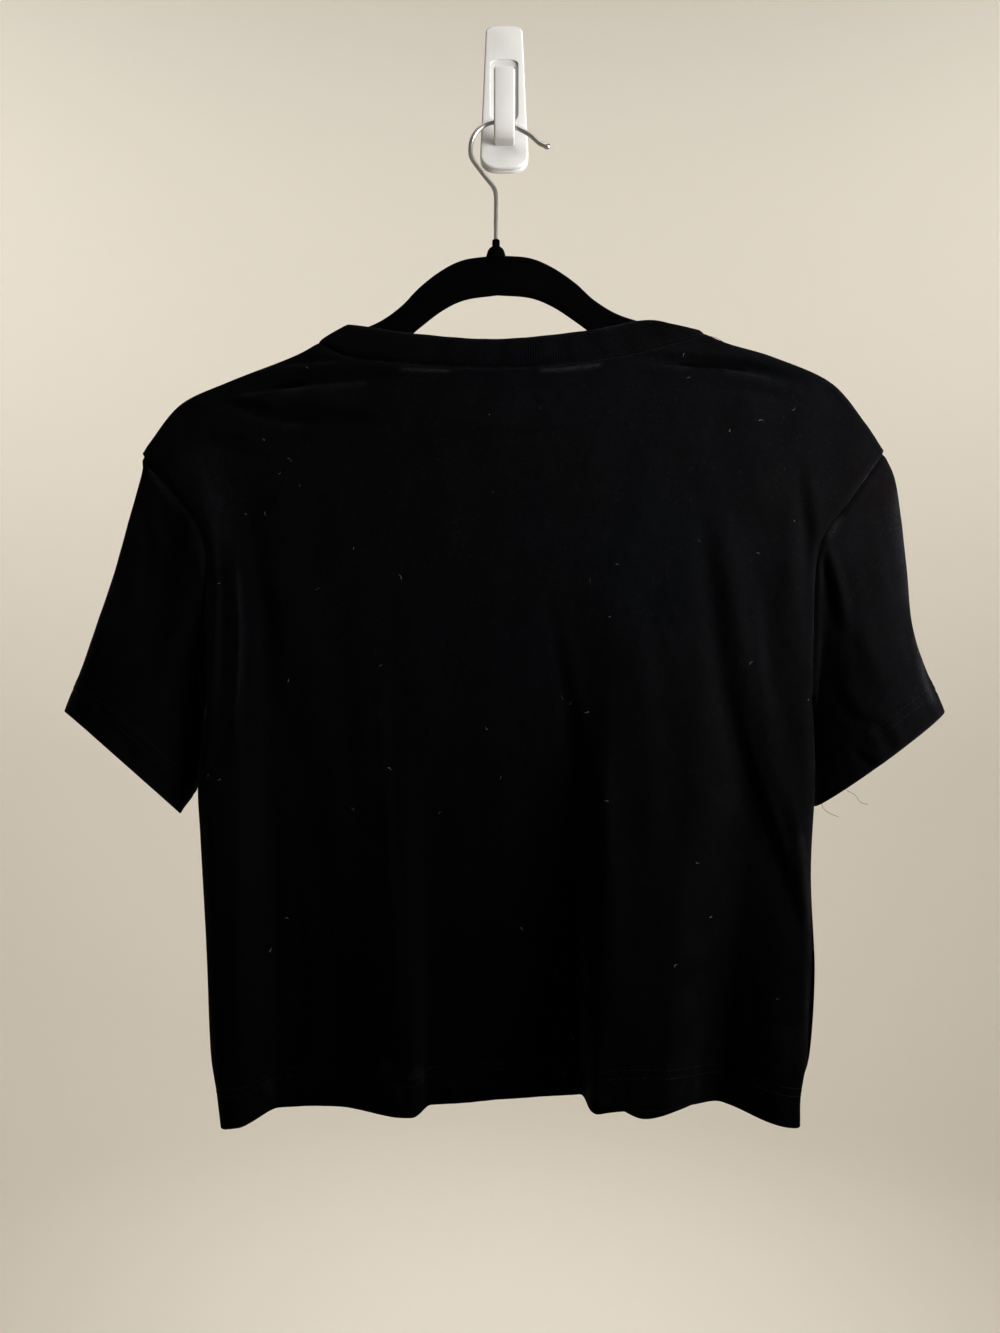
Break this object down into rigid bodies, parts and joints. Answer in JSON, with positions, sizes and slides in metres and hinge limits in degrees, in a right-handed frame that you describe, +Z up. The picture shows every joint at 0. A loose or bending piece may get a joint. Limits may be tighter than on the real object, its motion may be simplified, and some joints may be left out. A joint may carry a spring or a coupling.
{
  "type": "crop top on a hanger and wall hook",
  "caption": "Short-sleeved crew-neck crop top, hung back outwards on a flat flocked hanger with a wire hook, from a stick-on wall hook.",
  "frame": {"origin": "centre of the wall hook's back face, where it sticks to the wall", "axes": "+Z up, +Y into the wall, +X to the right of somebody who looks at the wall; the garment's back faces -Y"},
  "size_m": [0.6082, 0.0523, 0.7774],
  "materials": {
    "black_jersey": "matt plain jersey",
    "black_rib": "matt fine rib",
    "black_flock": "short flock on plastic",
    "chrome_wire": "bright plated wire",
    "white_plastic": "smooth white moulding"
  },
  "bodies": {
    "root": {"back": "black_jersey", "front": "black_jersey", "sleeve_left": "black_jersey", "sleeve_right": "black_jersey", "neckband": "black_rib", "hanger": "black_flock", "hanger_hook": "chrome_wire", "wall_hook_plate": "white_plastic", "wall_hook_arm": "white_plastic"}
  },
  "joints": []
}
